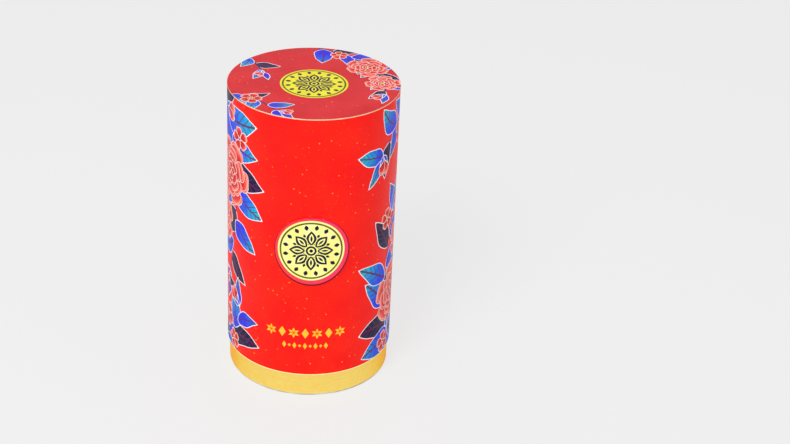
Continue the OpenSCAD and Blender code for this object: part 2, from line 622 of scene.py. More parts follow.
@dataclass(frozen=True)
class MagentaBoard:
    """Magenta paper on the raised board of the front seal, with a fine sparkle."""

    name: str = "magenta_board"
    pink: Colour = srgb(253, 28, 92)
    rose: Colour = srgb(246, 40, 58)
    spark: Colour = srgb(255, 110, 130)

    def material(self) -> bpy.types.Material:
        """Makes the material.

        Returns:
            The material.
        """
        graph = Graph(self.name)
        here = graph.point()
        x, _, _ = graph.split(here)
        sweep = (x * 30 + 0.5 + (graph.noise(here, 200, 3) - 0.5) * 0.6).ease(0.1, 0.9)
        paint = graph.mix(sweep, self.rose, self.pink)
        sparkle = graph.noise(here, 1500, 2, 0.6).ease(0.58, 0.74)
        return graph.finish(
            base_color=graph.mix(sparkle * 0.6, paint, self.spark),
            roughness=0.38 - 0.08 * sparkle,
            normal=graph.bump(graph.noise(here, 1700, 2), 0.00001),
        )


@dataclass(frozen=True)
class Board:
    """Uncoated board or paper: fibres, the joint of its winding, a cut end's plies and painted shade on its
    outer band.

    Lengths are in metres: ply is the thickness of a cut end's plies, contact_shade_from the radius at which
    painted shade starts, and spiral the pitch of the winding.
    """

    name: str
    colour: Colour
    fibre: Colour
    roughness: float = 0.82
    ply: float = 0.0
    spiral: float = 0.0
    # Bluish grey of the painted shade on a cut end's outer band.
    contact_shade: Colour = srgb(150, 152, 164)
    contact_shade_from: float = 0.0

    def material(self) -> bpy.types.Material:
        """Makes the material.

        Returns:
            The material.
        """
        graph = Graph(self.name)
        here = graph.point()
        x, y, z = graph.split(here)
        fibres = graph.noise(graph.point((1, 1, 0.35)), 900, 4, 0.65)
        cloud = graph.noise(here, 70, 3).ease(0.3, 0.75)
        tint = graph.mix(fibres.ease(0.35, 0.7) * 0.5 + cloud * 0.3, self.colour, self.fibre)
        if self.ply:
            radius = (x * x + y * y) ** 0.5
            rings = abs((radius / self.ply).fract() - 0.5).ease(0.12, 0.02)
            tint = graph.mix(rings * 0.3, tint, self.fibre)
            # The outer band of a cut end is greyed: painted shade where the box meets the floor.
            contact_shade_band = radius.ease(self.contact_shade_from - 0.0002, self.contact_shade_from)
            tint = graph.mix(contact_shade_band * (0.6 + 0.6 * (cloud - 0.5)), tint, self.contact_shade)
        height = fibres
        if self.spiral:
            joint = abs((z / self.spiral + y.turn(x) / math.tau).fract() - 0.5).ease(0.01, 0.003)
            tint = graph.mix(joint * 0.35, tint, self.fibre)
            height = fibres - joint * 0.8
        return graph.finish(
            base_color=tint,
            roughness=self.roughness + 0.1 * (fibres - 0.5),
            normal=graph.bump(height, 0.00002),
        )


# Print on flat sheets


class Ink(IntEnum):
    """What a patch of a printed sheet is printed with; the order is that of the material slots."""

    GROUND = 0
    LINE = 1
    LEAF = 2
    PETAL = 3
    STEM = 4
    GOLD = 5
    EDGE_GOLD = 6
    DARK = 7
    CORE = 8
    POCKET = 9
    EDGE = 10
    OLIVE = 11


@dataclass(frozen=True)
class Spot:
    """Where a motif lies on its sheet: its foot, the way it points and its length."""

    x: float
    y: float
    angle: float = 0.0
    size: float = 1.0

    def to_sheet(self, local: Vector) -> Vector:
        """A point of the motif on the sheet.

        Args:
            local: The point in the motif's own measure.

        Returns:
            The point on the sheet.
        """
        sized = local * self.size
        cos, sin = math.cos(self.angle), math.sin(self.angle)
        return Vector((self.x + sized.x * cos - sized.y * sin, self.y + sized.x * sin + sized.y * cos))

    def to_motif(self, place: Vector) -> Vector:
        """A point of the sheet in the motif's own measure.

        Args:
            place: The point on the sheet.

        Returns:
            The point as the motif sees it.
        """
        dx, dy = place.x - self.x, place.y - self.y
        cos, sin = math.cos(self.angle), math.sin(self.angle)
        return Vector((dx * cos + dy * sin, dy * cos - dx * sin)) / self.size

    def swung(self, turn: float, share: float) -> "Spot":
        """The same foot, turned and shortened."""
        return Spot(self.x, self.y, self.angle + turn, self.size * share)


def away_from(x: float, y: float, reach: float, angle: float, size: float = 1.0) -> Spot:
    """A spot whose foot lies at a reach from a middle, in the direction that the spot points."""
    return Spot(x + reach * math.cos(angle), y + reach * math.sin(angle), angle, size)


@dataclass(frozen=True)
class Patch:
    """One printed shape: its outline on the sheet, its ink and what its ink reads."""

    outline: list[Vector]
    ink: Ink
    spot: Spot
    form: tuple[float, float] = (1.0, 0.0)
    tone: tuple[float, float] = (0.0, 0.0)

    def moved(self, shift: float) -> "Patch":
        """The same shape further along the sheet.

        Args:
            shift: How far along.

        Returns:
            The shape in its new place.
        """
        if not shift:
            return self
        outline = [v + Vector((shift, 0)) for v in self.outline]
        return replace(self, outline=outline, spot=replace(self.spot, x=self.spot.x + shift))


def shrink(outline: Sequence[Vector], by: float) -> list[Vector]:
    """Moves a closed outline inwards, leaving out the corners that would cross at its tips.

    Args:
        outline: Its corners, anticlockwise.
        by: How far.

    Returns:
        The inner outline.
    """
    inner = []
    count = len(outline)
    for i, corner in enumerate(outline):
        before, after = outline[i - 1], outline[(i + 1) % count]
        run = (after - before).normalized()
        moved = corner + Vector((-run.y, run.x)) * by
        nearest = min(
            (moved - outline[k - 1].lerp(outline[k], min(1.0, max(0.0, share)))).length
            for k in range(count)
            for share in (intersect_point_line(moved, outline[k - 1], outline[k])[1],)
        )
        if nearest > 0.9 * by:
            inner.append(moved)
    return inner


def from_longest(outline: Sequence[Vector]) -> list[Vector]:
    """Starts a closed outline at its longest edge, from which the cutter fills it safely.

    Args:
        outline: Its corners.

    Returns:
        The same corners in turn.
    """
    count = len(outline)
    first = max(range(count), key=lambda i: (outline[(i + 1) % count] - outline[i]).length)
    return [outline[(first + i) % count] for i in range(count)]


def rectangle(left: float, right: float, low: float, high: float) -> list[Vector]:
    """Corners of a rectangle, anticlockwise."""
    return [Vector(corner) for corner in ((left, low), (right, low), (right, high), (left, high))]


def round_outline(radius: float, count: int = 64, x: float = 0.0, y: float = 0.0) -> list[Vector]:
    """Corners of a circle, anticlockwise."""
    turns = [math.tau * i / count for i in range(count)]
    return [Vector((x + radius * math.cos(a), y + radius * math.sin(a))) for a in turns]


class PrintedSheet:
    """A flat printed sheet that is cut into faces along the edges of its print."""

    merge: float = 0.004

    def __init__(self, outline: list[Vector], ground: Ink, cross: float, rows: Iterable[float]) -> None:
        """Starts a bare sheet.

        Args:
            outline: The sheet's own edge, anticlockwise.
            ground: The ink all over it.
            cross: Spacing of its columns.
            rows: Heights of the rows that it can bend at.
        """
        self.patches = [Patch(outline, ground, Spot(0, 0))]
        self.cross = cross
        self.rows = list(rows)

    def add(self, outline: Sequence[Vector], ink: Ink, spot: Spot, form: tuple[float, float] = (1.0, 0.0),
            tone: tuple[float, float] = (0.0, 0.0), line: float = 0.0) -> None:
        """Prints one shape over what lies there.

        Args:
            outline: Its corners in its own measure, anticlockwise.
            ink: What it is printed with.
            spot: Where it lies.
            form: Width and bend that its ink reads.
            tone: Tone and seed that its ink reads.
            line: Width of a pale contour left round it.
        """
        corners = [spot.to_sheet(p) for p in outline]
        if line:
            blush = 1.0 if ink == Ink.PETAL else 0.0
            self.patches.append(Patch(from_longest(corners), Ink.LINE, spot, form, (blush, tone[1])))
            corners = shrink(corners, line)
        if len(corners) > 2:
            self.patches.append(Patch(from_longest(corners), ink, spot, form, tone))

    def repeat(self, period: float) -> None:
        """Carries the print on past both ends of the sheet, so that it meets itself round a drum.

        Args:
            period: Once round the drum.
        """
        low, high = (limit(v.x for v in self.patches[0].outline) for limit in (min, max))
        carried = self.patches[:1]
        for patch in self.patches[1:]:
            for shift in (-period, 0.0, period):
                xs = [v.x + shift for v in patch.outline]
                if max(xs) > low and min(xs) < high:
                    carried.append(patch.moved(shift))
        self.patches = carried

    def build(self, thickness: float, core: Ink = Ink.CORE) -> BMesh:
        """Cuts the sheet along its print and gives it its thickness.

        Args:
            thickness: How thick it is; the print lies at height 0.
            core: What its back and edges show.

        Returns:
            The closed flat sheet, in millimetres.
        """
        corners = [v for patch in self.patches for v in patch.outline]
        faces, start = [], 0
        for patch in self.patches:
            faces.append(list(range(start, start + len(patch.outline))))
            start += len(patch.outline)
        edge = self.patches[0].outline
        low_x, high_x = min(v.x for v in edge), max(v.x for v in edge)
        columns = max(2, round((high_x - low_x) / self.cross))
        for row in self.rows:
            for i in range(1, columns):
                corners.append(Vector((low_x + (high_x - low_x) * i / columns, row)))
        spots, _, cut, _, _, owners = delaunay_2d_cdt(corners, [], faces, 0, self.merge)
        bm = bmesh.new()
        charts = [bm.loops.layers.uv.new(name) for name in ("motif", "form", "tone")]
        verts = [bm.verts.new((v.x, v.y, -thickness)) for v in spots]
        for face, owner in zip(cut, owners):
            if 0 not in owner:
                continue
            patch = self.patches[max(owner)]
            made = bm.faces.new([verts[i] for i in face])
            made.material_index = patch.ink
            made.smooth = True
            for loop in made.loops:
                local = patch.spot.to_motif(Vector(loop.vert.co.xy))
                for chart, numbers in zip(charts, (local, patch.form, patch.tone)):
                    loop[chart].uv = numbers
        loose = [v for v in bm.verts if not v.link_faces]
        bmesh.ops.delete(bm, geom=loose, context="VERTS")
        front, back = thicken(bm, thickness)
        for face in bm.faces:
            if face not in front:
                face.material_index = core
                face.smooth = face in back
        return bm


def thicken(bm: BMesh, thickness: float) -> tuple[set[BMFace], set[BMFace]]:
    """Raises a flat sheet's face and closes it round its edge and back.

    Args:
        bm: The sheet, lying at its back.
        thickness: How far its face is raised.

    Returns:
        The faces of its front and of its back.
    """
    flat = list(bm.faces)
    raised = bmesh.ops.extrude_face_region(bm, geom=flat, use_keep_orig=True)["geom"]
    bmesh.ops.translate(bm, vec=(0, 0, thickness), verts=[v for v in raised if isinstance(v, BMVert)])
    bmesh.ops.recalc_face_normals(bm, faces=bm.faces)
    return {f for f in raised if isinstance(f, BMFace)}, set(flat)


class Flora:
    """Draws generic leaves, buds and blossoms on a printed sheet.

    Each ring of a full blossom has its number of petals, how far out their feet lie and their length, as
    shares of the blossom's radius, and half their width, as a share of their length. dot is the radius of a
    stamen, and a twig tapers from twig_foot to twig_tip.
    """

    rings: tuple[tuple[int, float, float, float], ...] = (
        (6, 0.36, 0.66, 0.64),
        (6, 0.22, 0.58, 0.62),
        (5, 0.1, 0.52, 0.64),
        (5, 0.03, 0.4, 0.6),
        (4, 0.0, 0.27, 0.56),
    )
    dot: float = 0.42
    leaf_steps: int = 15
    twig_foot: float = 1.5
    twig_tip: float = 0.7

    def __init__(self, sheet: PrintedSheet, seed: int, line: float = 0.5) -> None:
        """Takes the sheet to draw on.

        Args:
            sheet: The sheet.
            seed: Start of the hand's small irregularities.
            line: Width of the pale contours.
        """
        self.sheet = sheet
        self.hand = random.Random(seed)
        self.line = line

    def leaf(self, spot: Spot, width: float, bend: float, tone: float) -> None:
        """Draws a smooth pointed leaf.

        Args:
            spot: Its foot, direction and length.
            width: Half its width, as a share of its length.
            bend: How far its midrib bows, as a share of its length.
            tone: 0 for blue, 1 for near black.
        """
        steps = self.leaf_steps
        wave = self.hand.uniform(0, math.tau)

        def side(sign: float, i: int) -> Vector:
            """One point of the margin.

            Args:
                sign: Which margin, 1 or -1.
                i: Which step along it.

            Returns:
                The point in the leaf's own measure.
            """
            along = 0.5 - 0.5 * math.cos(math.pi * i / steps)
            half = width * math.sin(math.pi * along**0.72) ** 0.9
            half *= 1 + 0.07 * math.sin(along * 11 + wave)
            return Vector((along, bend * 4 * along * (1 - along) + sign * half))

        outline = [side(-1, i) for i in range(steps + 1)] + [side(1, i) for i in range(steps - 1, 0, -1)]
        self.sheet.add(outline, Ink.LEAF, spot, (width, bend), (tone, self.hand.random()), self.line)

    def petal(self, spot: Spot, width: float, tone: float, notch: float, steps: int = 16) -> None:
        """Draws one broad petal.

        Args:
            spot: Its foot, direction and length.
            width: Half its width, as a share of its length.
            tone: Higher for a paler petal.
            notch: Depth of the dip in its lip.
            steps: Points round it.
        """
        ripple = self.hand.uniform(0, math.tau)
        outline = []
        for i in range(steps):
            turn = math.tau * i / steps
            swell = 0.8 + 0.3 * math.cos(turn)
            away = min(turn, math.tau - turn)
            lip = 0.5 + 0.5 * math.cos(turn) - notch * math.exp(-((away / 0.3) ** 2))
            lip += 0.015 * math.sin(5 * turn + ripple)
            outline.append(Vector((lip, width * swell * math.sin(turn))))
        self.sheet.add(outline, Ink.PETAL, spot, (width, 0.0), (tone, self.hand.random()), self.line * 0.8)

    def camellia(self, x: float, y: float, radius: float) -> None:
        """Draws a full blossom of overlapping rings of petals.

        Args:
            x: Its middle.
            y: Its middle.
            radius: Its size.
        """
        start = self.hand.uniform(0, math.tau)
        for depth, (count, foot, length, width) in enumerate(self.rings):
            start += 0.45
            for i in range(count):
                angle = start + math.tau * i / count + self.hand.uniform(-0.1, 0.1)
                size = radius * length * self.hand.uniform(0.94, 1.05)
                spot = away_from(x, y, radius * foot, angle, size)
                self.petal(spot, width, 0.5 - 0.16 * depth + self.hand.uniform(-0.1, 0.1), 0.05, 20)
        self.stamens(x, y, radius * 0.1, 5)

    def plum(self, x: float, y: float, radius: float) -> None:
        """Draws a small blossom of five round petals.

        Args:
            x: Its middle.
            y: Its middle.
            radius: Its size.
        """
        start = self.hand.uniform(0, math.tau)
        for i in range(5):
            angle = start + math.tau * i / 5
            self.petal(away_from(x, y, radius * 0.08, angle, radius * 0.92), 0.5, 0.5, 0.07)
        self.stamens(x, y, radius * 0.3, 5)

    def stamens(self, x: float, y: float, radius: float, count: int) -> None:
        """Draws the gold dots at a blossom's heart.

        Args:
            x: Its middle.
            y: Its middle.
            radius: How far out they lie.
            count: How many they are.
        """
        for i in range(count):
            place = away_from(x, y, radius, math.tau * i / count)
            self.sheet.add(round_outline(self.dot, 8, place.x, place.y), Ink.GOLD, Spot(0, 0))

    def bud(self, spot: Spot) -> None:
        """Draws a closed bud held by two small leaves.

        Args:
            spot: Its foot, direction and length.
        """
        for turn, share, width, tone in ((0.22, 1.0, 0.3, 0.3), (-0.2, 0.94, 0.27, 0.1)):
            self.petal(spot.swung(turn, share), width, tone, 0.0)
        for turn, share in ((0.55, 0.62), (-0.5, 0.58)):
            self.leaf(spot.swung(turn, share), 0.17, 0.05, 0.2)

    def stem(self, path: Sequence[Vector]) -> None:
        """Draws a tapering twig.

        Args:
            path: Points along it.
        """
        left, right = [], []
        last = len(path) - 1
        for i, here in enumerate(path):
            run = (path[min(i + 1, last)] - path[max(i - 1, 0)]).normalized()
            half = (self.twig_foot + (self.twig_tip - self.twig_foot) * i / last) / 2
            left.append(here + Vector((-run.y, run.x)) * half)
            right.append(here - Vector((-run.y, run.x)) * half)
        self.sheet.add(right + left[::-1], Ink.STEM, Spot(0, 0))


@dataclass(frozen=True)
class Spray:
    """A flowering branch: a curved twig, its leaves, blossoms and buds."""

    start: tuple[float, float]
    lean: tuple[float, float]
    pull: tuple[float, float]
    end: tuple[float, float]
    leaves: int
    leaf: float
    camellias: tuple[tuple[float, float, float], ...] = ()
    plums: tuple[tuple[float, float, float], ...] = ()
    buds: tuple[float, ...] = ()
    every_dark: int = 3

    def draw(self, flora: Flora, scale: float = 1.0) -> None:
        """Draws the whole branch.

        Args:
            flora: The hand that draws.
            scale: Share of the full size for its leaves.
        """
        ends = [Vector(p).to_3d() for p in (self.start, self.lean, self.pull, self.end)]
        path = [v.to_2d() for v in interpolate_bezier(*ends, 24)]
        for tone in (1.0, 0.0):
            if not tone:
                flora.stem(path)
            for i in range(self.leaves):
                if (i % self.every_dark == 1) == bool(tone):
                    self._leaf(flora, path, i, scale, tone or flora.hand.uniform(0.0, 0.4))
        here, way = self._along(path, 1.0)
        flora.leaf(Spot(here.x, here.y, way, self.leaf * scale * 0.7), 0.2, 0.05, 0.1)
        for place in self.buds:
            here, way = self._along(path, place)
            flora.bud(Spot(here.x, here.y, way + flora.hand.choice((-0.7, 0.7)), self.leaf * scale * 0.5))
        for x, y, radius in self.plums:
            flora.plum(x, y, radius)
        for x, y, radius in self.camellias:
            flora.camellia(x, y, radius)

    def _leaf(self, flora: Flora, path: Sequence[Vector], i: int, scale: float, tone: float) -> None:
        """Draws one leaf of the branch.

        Args:
            flora: The hand that draws.
            path: The twig.
            i: Which leaf it is.
            scale: Share of the full size.
            tone: 0 for blue, 1 for near black.
        """
        place = (i + 0.5) / self.leaves
        here, way = self._along(path, place)
        side = 1 if i % 2 else -1
        angle = way + side * flora.hand.uniform(0.6, 1.2)
        size = self.leaf * scale * (1.1 - 0.36 * place) * flora.hand.uniform(0.85, 1.15)
        bend = -side * flora.hand.uniform(0.02, 0.12)
        flora.leaf(Spot(here.x, here.y, angle, size), flora.hand.uniform(0.22, 0.3), bend, tone)

    @staticmethod
    def _along(path: Sequence[Vector], share: float) -> tuple[Vector, float]:
        """A point of the path and the way it runs there.

        Args:
            path: Points along it.
            share: How far along, 0 to 1.

        Returns:
            The point and its direction in radians.
        """
        i = min(int(share * (len(path) - 1)), len(path) - 2)
        run = path[i + 1] - path[i]
        return path[i], math.atan2(run.y, run.x)


# Bending the sheets


class SheetPath:
    """The way a sheet's printed face runs in section, as straights and bends to the left."""

    def __init__(self, radius: float, height: float, heading: float) -> None:
        """Starts the path.

        Args:
            radius: Distance from the box's axis.
            height: Height above the table.
            heading: Direction in radians, 0 outwards and a quarter turn upwards.
        """
        self.parts: list[tuple[float, float, Vector, float]] = []
        self.length = 0.0
        self.here = Vector((radius, height))
        self.heading = heading

    def straight(self, length: float) -> "SheetPath":
        """Runs on straight.

        Args:
            length: How far.

        Returns:
            The path itself.
        """
        self.parts.append((self.length, 0.0, self.here.copy(), self.heading))
        self.here += Vector((math.cos(self.heading), math.sin(self.heading))) * length
        self.length += length
        return self

    def bend(self, radius: float, turn: float) -> "SheetPath":
        """Bends to the left.

        Args:
            radius: Radius of the bend.
            turn: How far it turns, in radians.

        Returns:
            The path itself.
        """
        self.parts.append((self.length, radius, self.here.copy(), self.heading))
        centre = self.here + Vector((-math.sin(self.heading), math.cos(self.heading))) * radius
        self.heading += turn
        self.here = centre + Vector((math.sin(self.heading), -math.cos(self.heading))) * radius
        self.length += radius * turn
        return self

    def at(self, along: float) -> tuple[Vector, Vector]:
        """A point of the path.

        Args:
            along: Distance from its start.

        Returns:
            Radius and height there, and the way the printed face looks.
        """
        begin, radius, corner, heading = next(
            (p for p in reversed(self.parts) if along >= p[0] - TINY), self.parts[0]
        )
        run = along - begin
        if not radius:
            place = corner + Vector((math.cos(heading), math.sin(heading))) * run
            return place, Vector((math.sin(heading), -math.cos(heading)))
        centre = corner + Vector((-math.sin(heading), math.cos(heading))) * radius
        look = heading + run / radius
        face = Vector((math.sin(look), -math.cos(look)))
        return centre + face * radius, face


@dataclass(frozen=True)
class Drum:
    """Bends a flat sheet round the box, lapping over its own start at the seam."""

    path: SheetPath
    radius: float
    shift: float
    front: float = -math.pi / 2
    lap_at: float = math.inf
    lap_rise: float = 0.0
    climb: float = 1.5

    def wrap(self, bm: BMesh) -> None:
        """Bends every point of a flat sheet.

        Args:
            bm: The sheet, with its print at height 0.
        """
        for vert in bm.verts:
            x, y, depth = vert.co
            place, face = self.path.at(y + self.shift)
            rise = self.lap_rise * min(1.0, max(0.0, (x - self.lap_at) / self.climb + 1))
            place = place + face * (depth + rise)
            turn = self.front + x / self.radius
            vert.co = (place.x * math.cos(turn), place.x * math.sin(turn), place.y)


# Meshes


def smooth_all(bm: BMesh) -> None:
    """Shades every face smooth."""
    for face in bm.faces:
        face.smooth = True


def soften(bm: BMesh, width: float, segments: int = 2) -> None:
    """Rounds the sharp edges of a mesh.

    Args:
        bm: The mesh.
        width: Width of the rounding.
        segments: Faces across it.
    """
    edges = [e for e in bm.edges if len(e.link_faces) == 2 and e.calc_face_angle(0.0) > SHARP_ANGLE]
    bmesh.ops.bevel(
        bm, geom=edges, offset=width, segments=segments, profile=0.5, affect="EDGES", material=-1,
        clamp_overlap=True,
    )


def turned(profile: Sequence[tuple[float, float]], steps: int = ROUND_STEPS) -> BMesh:
    """Turns a closed outline round the box's axis.

    Args:
        profile: Radius and height of its corners.
        steps: Faces round it.

    Returns:
        The mesh, in millimetres.
    """
    bm = bmesh.new()
    verts = [bm.verts.new((radius, 0, height)) for radius, height in profile]
    edges = [bm.edges.new((verts[i - 1], verts[i])) for i in range(len(verts))]
    bmesh.ops.spin(
        bm, geom=verts + edges, cent=(0, 0, 0), axis=(0, 0, 1), angle=math.tau, steps=steps, use_merge=True
    )
    bmesh.ops.remove_doubles(bm, verts=bm.verts, dist=1e-5)
    bmesh.ops.recalc_face_normals(bm, faces=bm.faces)
    smooth_all(bm)
    return bm


def ring_profile(outer: float, inner: float, low: float, high: float) -> list[tuple[float, float]]:
    """Corners of a plain ring."""
    return [(inner, low), (outer, low), (outer, high), (inner, high)]


def plate(radius: float, low: float, high: float, soft: float = 0.0) -> BMesh:
    """A round flat plate.

    Args:
        radius: Its radius.
        low: Height of its underside.
        high: Height of its face.
        soft: Width of the rounding of its rim.

    Returns:
        The mesh, in millimetres.
    """
    bm = bmesh.new()
    middle = Matrix.Translation((0, 0, (low + high) / 2))
    bmesh.ops.create_cone(
        bm, cap_ends=True, cap_tris=False, segments=ROUND_STEPS, radius1=radius, radius2=radius,
        depth=high - low, matrix=middle,
    )
    if soft:
        soften(bm, soft)
    smooth_all(bm)
    return bm


def place_piece(
    name: str, bm: BMesh, body: str, slot: str, materials: Sequence[bpy.types.Material], *nodes: str
) -> None:
    """Turns a mesh in millimetres into a piece of the box.

    Args:
        name: The piece's name.
        bm: Its mesh.
        body: The body that it moves with.
        slot: Not used; it names the record's material slot.
        materials: Its materials, in the order of its faces' numbers.
        *nodes: The nodes that it stands for.
    """
    bmesh.ops.scale(bm, vec=(MM, MM, MM), verts=bm.verts)
    mesh = bpy.data.meshes.new(name)
    bm.to_mesh(mesh)
    bm.free()
    for material in materials:
        mesh.materials.append(material)
    piece = bpy.data.objects.new(name, mesh)
    bpy.context.scene.collection.objects.link(piece)
    mesh.set_sharp_from_angle(angle=SHADING_ANGLE)
    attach(piece, body)
    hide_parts(*nodes)
    LOG.info("%s: %d faces, rides on %s", name, len(mesh.polygons), body)


def dress_node(node: str, material: bpy.types.Material) -> None:
    """Gives a node that stays as it is its finish.

    Args:
        node: The node's name.
        material: Its finish.
    """
    mesh = bpy.data.objects[node].data
    if not mesh.materials:
        mesh.materials.append(material)
    for i in range(len(mesh.materials)):
        bpy.data.objects[node].material_slots[i].material = material
    LOG.info("%s: dressed", node)


def pick(bm: BMesh, finishes: dict[Ink, bpy.types.Material]) -> list[bpy.types.Material]:
    """Renumbers a sheet's faces to the inks that it really shows.

    Args:
        bm: The sheet, whose faces carry ink numbers.
        finishes: The material of each ink.

    Returns:
        The materials in their new order.
    """
    used = sorted({face.material_index for face in bm.faces})
    order = {ink: i for i, ink in enumerate(used)}
    for face in bm.faces:
        face.material_index = order[face.material_index]
    return [finishes[Ink(ink)] for ink in used]


# Sizes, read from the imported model


@dataclass(frozen=True)
class Sizes:
    """Real sizes in millimetres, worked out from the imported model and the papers' own measures."""

    paper: float = 0.13
    glue: float = 0.04
    turn_in: float = 12.0
    tab: float = 8.0
    lap: float = 9.0
    lap_climb: float = 1.5
    base_seam: float = math.radians(150)
    foil: float = 0.12
    foil_glue: float = 0.04

    @staticmethod
    def span(node: str) -> tuple[Vector, Vector]:
        """A node's corners in millimetres."""
        low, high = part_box(node)
        return low / MM, high / MM

    @property
    def lid_radius(self) -> float:
        """Outer radius of the lid."""
        return self.span("lid_top_card")[1].x

    @property
    def lid_top(self) -> float:
        """Height of the printed card's face."""
        return self.span("lid_top_card")[1].z

    @property
    def card(self) -> float:
        """Thickness of the printed card."""
        low, high = self.span("lid_top_card")
        return high.z - low.z

    @property
    def mouth(self) -> float:
        """Height of the lid's mouth."""
        return self.span("lid_wrap")[0].z

    def front_disc(self, node: str) -> tuple[float, float, float, float]:
        """Reads a disc that is bent onto the lid's front.

        Args:
            node: Its node.

        Returns:
            Radius of its face, the angle of its middle, the middle's height and the disc's own radius.
        """
        low, high = self.span(node)
        radius = (high.z - low.z) / 2
        face = -low.y
        turn = (math.asin(low.x / face) + math.asin(high.x / face)) / 2
        return face, turn - math.pi / 2, (low.z + high.z) / 2, radius


SIZES = Sizes()


# The lid


@dataclass
class Lid:
    """The lid: printed wrap and card, linings, boards and its two seals.

    Each row of the gold ornament has its start, its step and its height on the sheet.
    """

    body: str = "lid"
    board_wall: float = 0.55
    hairline: float = 0.85
    cut_edge: float = 0.12
    columns: float = 1.25
    row_gap: float = 6.0
    card_line: float = 0.4
    card_steps: int = 288
    card_columns: float = 8.0
    card_rows: range = range(-44, 45, 8)
    blossom: float = 3.4
    blossom_row: tuple[float, float, float] = (-22.0, 6.7, 42.8)
    stud_row: tuple[float, float, float] = (-14.0, 3.0, 34.4)
    seed: int = 11
    # The card's reds are the wall's red darkened by painted shade of the top face and made pinker by painted
    # sheen.
    card_deep_shaded: Colour = srgb(206, 18, 32)
    card_warm_shaded: Colour = srgb(217, 32, 41)
    front_sprays: tuple[Spray, ...] = (
        Spray(
            (-84, 172), (-44, 168), (-44, 118), (-62, 56), 15, 30,
            ((-58, 130, 20.0), (-72, 98, 17.0)), ((-47, 154, 7.5),), (0.18, 0.98),
        ),
        Spray(
            (-92, 10), (-64, 16), (-46, 26), (-48, 50), 8, 27,
            (), ((-64, 34, 9.0), (-54, 22, 6.5)), (0.96,),
        ),
        Spray(
            (92, 6), (52, 10), (42, 58), (64, 112), 16, 30,
            ((64, 52, 20.0), (76, 86, 17.0)), ((53, 104, 7.0), (54, 22, 7.5)), (0.4, 0.99),
        ),
        Spray((98, 158), (80, 168), (54, 162), (42, 142), 7, 26, (), ((69, 154, 9.0),), (0.95,), 4),
    )
    back_sprays: tuple[Spray, ...] = (
        Spray(
            (-120, 8), (-98, 40), (-138, 80), (-112, 132), 14, 30,
            ((-119, 54, 20.0), (-127, 92, 17.0)), ((-106, 26, 7.5),), (0.97,),
        ),
        Spray(
            (118, 176), (100, 140), (138, 100), (114, 52), 14, 30,
            ((121, 130, 20.0), (112, 92, 17.0)), ((134, 156, 7.5),), (0.96,),
        ),
        Spray((158, 8), (150, 28), (138, 44), (134, 64), 6, 25, (), ((147, 34, 8.5),), (0.95,), 4),
        Spray((-168, 178), (-160, 160), (-150, 148), (-140, 138), 6, 25, (), ((-152, 155, 8.5),), (0.95,), 4),
    )
    top_sprays: tuple[Spray, ...] = (
        Spray(
            (2, 47), (24, 38), (44, 16), (38, -18), 11, 18,
            ((30, 22, 12.5), (38, 1, 10.0)), ((14, 38, 5.5),), (0.98,),
        ),
        Spray((-48, -18), (-34, -18), (-26, -30), (-16, -42), 5, 16, (), ((-34, -23, 6.5),), (0.95,), 4),
        Spray((-38, 34), (-35, 26), (-31, 20), (-28, 10), 3, 15, (), (), (0.9,), 4),
    )

    def finishes(self) -> dict[Ink, bpy.types.Material]:
        """Makes the material of every ink on the lid.

        Returns:
            The material of each ink.
        """
        # The band at the mouth is gold print made near white and non-metallic: a painted highlight on the
        # gold edge.
        edge_gold_painted_highlight = GoldPaper("mouth_gold", srgb(255, 255, 182), srgb(255, 248, 150), metallic=0.0)
        return {
            Ink.GROUND: RedGround().material(),
            Ink.LINE: PaleLine().material(),
            Ink.LEAF: LeafInk().material(),
            Ink.PETAL: PetalInk().material(),
            Ink.STEM: FlatInk("stem_ink", srgb(60, 24, 92), srgb(30, 60, 150)).material(),
            Ink.GOLD: FlatInk("gold_ink", srgb(255, 206, 54), srgb(255, 176, 40)).material(),
            Ink.EDGE_GOLD: edge_gold_painted_highlight.material(),
            Ink.CORE: Board("paper_core", srgb(246, 214, 170), srgb(214, 176, 136)).material(),
            Ink.POCKET: Board("card_pocket", srgb(238, 226, 208), srgb(214, 196, 176)).material(),
        }

    def build(self) -> None:
        """Builds and dresses every piece of the lid."""
        inks = self.finishes()
        self.wrap(inks)
        self.card(inks)
        sleeve = ("lid_white_lining", "lid_lining")
        Linings(self.body, sleeve, ("lid_ceiling_lining", "lid_top_lining")).build()
        Seals(self.body).build()
        dress_node("lid_tube", Board("wound_board", srgb(196, 176, 148), srgb(158, 136, 106)).material())
        dress_node("lid_top_board", Board("greyboard", srgb(168, 164, 156), srgb(128, 122, 112)).material())

    def wrap(self, inks: dict[Ink, bpy.types.Material]) -> None:
        """Makes the printed paper as one flat sheet and bends it round the lid.

        Args:
            inks: The material of each ink.
        """
        radius = SIZES.lid_radius
        fold = (2 * SIZES.paper + 2 * SIZES.glue + self.board_wall) / 2
        bend_z = SIZES.mouth + fold
        top_z = SIZES.lid_top - SIZES.card - SIZES.glue - SIZES.paper
        inside = SIZES.turn_in - fold
        path = SheetPath(radius - 2 * fold, bend_z + inside, -math.pi / 2)
        path.straight(inside).bend(fold, math.pi).straight(top_z - bend_z)
        path.bend(SIZES.paper, math.pi / 2).straight(SIZES.tab - SIZES.paper)
        shift = inside + math.pi * fold - bend_z
        low, high = -shift, path.length - shift
        half = math.pi * radius
        end = half + SIZES.lap
        rows = self.wrap_rows(low, bend_z, fold, top_z, high)
        sheet = PrintedSheet(rectangle(-half, end, low, high), Ink.GROUND, self.columns, rows)
        flora = Flora(sheet, self.seed)
        for spray in self.back_sprays + self.front_sprays:
            spray.draw(flora)
        self.ornament(sheet)
        sheet.repeat(2 * half)
